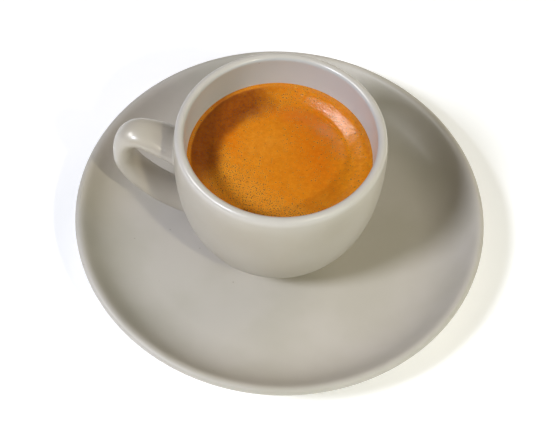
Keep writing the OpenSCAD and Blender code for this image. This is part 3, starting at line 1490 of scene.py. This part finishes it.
    def surface(self) -> Surface:
        """The crema's relief on its disc, and the plain liquid under it down to the cup's floor.

        The height is the relief less the depth of the burst bubbles.

        Returns:
            The closed surface, with its zones as values of its points.
        """
        unit_x, unit_y = self.disc()
        reach = self.radius + self.into_wall
        x, y = unit_x * reach, unit_y * reach
        zones = self.zones(unit_x, unit_y)
        burst = self.burst.depth(x, y, zones["pitted"], reach)
        z = self.edge_z + self.relief(x, y) - burst * self.burst_depth
        top = np.stack([self.cup.axis_x + x, y, z], axis=-1).reshape(-1, 3)
        size = self.grid + 1
        i, j = np.meshgrid(np.arange(self.grid), np.arange(self.grid), indexing="ij")
        faces = as_faces(i * size + j, (i + 1) * size + j, (i + 1) * size + j + 1, i * size + j + 1)
        rim = self.rim_index(size)
        under, under_faces = self.underside(top, rim)
        marks = {**{key: zone.ravel() for key, zone in zones.items()}, "holes": burst.ravel()}
        values = {key: np.concatenate([mark, np.zeros(len(under))]) for key, mark in marks.items()}
        return Surface(np.vstack([top, under]), faces + under_faces, values)

    def rim_index(self, size: int) -> Array:
        """The numbers of the points on the disc's edge, once round anticlockwise.

        Args:
            size: Points along a side of the grid.

        Returns:
            The numbers.
        """
        index = np.arange(size * size).reshape(size, size)
        return np.concatenate([index[:-1, 0], index[-1, :-1], index[:0:-1, -1], index[0, :0:-1]])

    def underside(self, top: Array, rim: Array) -> tuple[Array, list[tuple[int, ...]]]:
        """Rings that follow the inner wall, a little inside it, down to a point on the cup's floor.

        Args:
            top: The points of the crema.
            rim: The numbers of those on its edge.

        Returns:
            The points that are added, and the faces.
        """
        deep = self.edge_z - self.bank_height - self.cup.drink_floor
        depths = self.cup.drink_floor + deep * np.array([0.9, 0.5, 0.2, 0.05])
        start = top[rim]
        angle = np.arctan2(start[:, 1], start[:, 0] - self.cup.axis_x)
        radii = self.cup.inner_radius(depths) + self.into_wall
        x = self.cup.axis_x + radii[:, None] * np.cos(angle)
        y = radii[:, None] * np.sin(angle)
        z = np.broadcast_to(depths[:, None], x.shape)
        points = np.vstack([np.stack([x, y, z], axis=-1).reshape(-1, 3),
                            [[self.cup.axis_x, 0.0, self.cup.drink_floor - self.into_wall]]])
        count, base = len(rim), len(top)
        rows = np.vstack([rim, base + np.arange(len(depths) * count).reshape(len(depths), count)])
        after = np.roll(rows, -1, axis=1)
        faces = as_faces(rows[:-1], rows[1:], after[1:], after[:-1])
        fan = as_faces(rows[-1], np.full(count, base + len(points) - 1), after[-1])
        return points, faces + fan

    def build(self) -> bpy.types.Object:
        """Shape the drink and dress it.

        Returns:
            The espresso.
        """
        made = self.surface().piece("espresso_crema", Crema().material(), Slot.CREMA)
        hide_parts("espresso")
        return made


# ---------------------------------------------------------------------------------------------------------
# The studio
# ---------------------------------------------------------------------------------------------------------


def sphere_way(azimuth: float, elevation: float) -> Vector:
    """Unit vector towards an azimuth, anticlockwise from +X, and an elevation, both in degrees."""
    a, e = math.radians(azimuth), math.radians(elevation)
    return Vector((math.cos(e) * math.cos(a), math.cos(e) * math.sin(a), math.sin(e)))


@dataclass(frozen=True)
class SoftLight:
    """A round area light that faces the cup.

    Attributes:
        name: The light's name.
        azimuth: Where it hangs, anticlockwise from +X, in degrees.
        elevation: How high it hangs, in degrees.
        distance: How far from the cup, in metres.
        size: Its diameter.
        watts: Its power.
        colour: Its colour.
        matte: Whether it lights matte surfaces.
        gloss: Whether it shows in glossy ones.
    """

    name: str
    azimuth: float
    elevation: float
    distance: float
    size: float
    watts: float
    colour: Colour = (1.0, 1.0, 1.0)
    matte: bool = True
    gloss: bool = True

    def build(self, target: Vector) -> None:
        """Hang the light.

        Args:
            target: What it faces.
        """
        data = bpy.data.lights.new(self.name, "AREA")
        data.shape = "DISK"
        data.size = self.size
        data.energy = self.watts
        data.color = self.colour
        lamp = bpy.data.objects.new(self.name, data)
        lamp.visible_diffuse = self.matte
        lamp.visible_glossy = self.gloss
        way = sphere_way(self.azimuth, self.elevation)
        lamp.location = target + way * self.distance
        lamp.rotation_euler = (-way).to_track_quat("-Z", "Y").to_euler()
        bpy.context.scene.collection.objects.link(lamp)


@dataclass(frozen=True)
class Studio:
    """Plain pale floor, soft light and the camera.

    Attributes:
        azimuth: Where the camera stands, in degrees.
        elevation: How high it stands, in degrees.
        distance: How far from its aim, in metres.
        lens: Its focal length, in millimetres.
        sensor: Width of its sensor, in millimetres.
        near: Where its view starts, in metres.
        roll: How far it is rolled, in degrees.
        tilt: How far it is tilted up.
        aim_height: Height of the point on the saucer's axis that it aims at.
        floor_size: Side of the floor.
        lights: The lights.
        sky: Colour of the fill from all round.
        sky_strength: Its strength.
    """

    azimuth: float = -84.76
    elevation: float = 56.652
    distance: float = 439.7 * MM
    lens: float = 90.16
    sensor: float = 36.0
    near: float = 10.0 * MM
    roll: float = -3.502
    tilt: float = -0.543
    aim_height: float = 15.0 * MM
    floor_size: float = 6.0
    lights: tuple[SoftLight, ...] = (
        SoftLight("key_left", 219.0, 48.0, 1.2, 0.26, 11.2, (0.85, 0.89, 1.0)),
        SoftLight("side_right", 312.0, 45.0, 1.2, 0.06, 3.2, (1.0, 0.93, 0.75)),
        SoftLight("side_low", 328.0, 30.0, 1.2, 0.9, 3.3, (0.84, 1.0, 0.84)),
        SoftLight("fill_back", 40.0, 35.0, 1.2, 1.0, 4.9, (1.0, 0.90, 0.75), gloss=False),
        SoftLight("glint_left", 186.0, 43.0, 1.2, 0.38, 8.5, matte=False),
    )
    sky: Colour = (1.0, 0.96, 0.91)
    sky_strength: float = 0.057

    def camera(self) -> None:
        """Stand the camera on its sphere round the saucer, tilt and roll it."""
        data = bpy.data.cameras.new("camera")
        data.lens = self.lens
        data.sensor_width = self.sensor
        data.clip_start = self.near
        made = bpy.data.objects.new("camera", data)
        aim = Vector((0.0, 0.0, self.aim_height))
        back = sphere_way(self.azimuth, self.elevation)
        right = Vector((0.0, 0.0, 1.0)).cross(back).normalized()
        frame_axes = Matrix((right, back.cross(right), back)).transposed()
        turned_axes = (Matrix.Rotation(math.radians(self.tilt), 3, right) @ frame_axes)
        forward = -(turned_axes.col[2])
        turned_axes = Matrix.Rotation(math.radians(self.roll), 3, forward) @ turned_axes
        made.matrix_world = Matrix.Translation(aim + back * self.distance) @ turned_axes.to_4x4()
        bpy.context.scene.collection.objects.link(made)
        bpy.context.scene.camera = made

    def floor(self) -> None:
        """Lay the floor under the saucer."""
        half = self.floor_size / 2
        corners = [(-half, -half, 0.0), (half, -half, 0.0), (half, half, 0.0), (-half, half, 0.0)]
        mesh = bpy.data.meshes.new("floor")
        mesh.from_pydata(corners, [], [(0, 1, 2, 3)])
        mesh.materials.append(PlainFloor().material())
        made = bpy.data.objects.new("floor", mesh)
        bpy.context.scene.collection.objects.link(made)

    def world(self) -> None:
        """Fill from all round, plain and soft."""
        world = bpy.data.worlds.new("studio")
        world.use_nodes = True
        background = world.node_tree.nodes["Background"]
        background.inputs["Color"].default_value = (*self.sky, 1.0)
        background.inputs["Strength"].default_value = self.sky_strength
        bpy.context.scene.world = world

    def build(self, target: Vector) -> None:
        """Set up everything round the object.

        Args:
            target: The middle of the cup, which the lights face.
        """
        bpy.context.scene.view_settings.view_transform = "Standard"
        self.world()
        self.floor()
        self.camera()
        for light in self.lights:
            light.build(target)


def main() -> None:
    """Build the pieces in order and report each."""
    logging.basicConfig(level=logging.INFO, format="%(name)s: %(message)s")
    cup = Cup()
    for piece in (Saucer().build(), cup.build(), Espresso(cup.body).build()):
        LOG.info("%s: %d points, %d faces", piece.name, len(piece.data.vertices), len(piece.data.polygons))
    Studio().build(Vector((cup.body.axis_x, 0.0, float(cup.body.high[2]) / 2)))


if __name__ == "__main__":
    main()
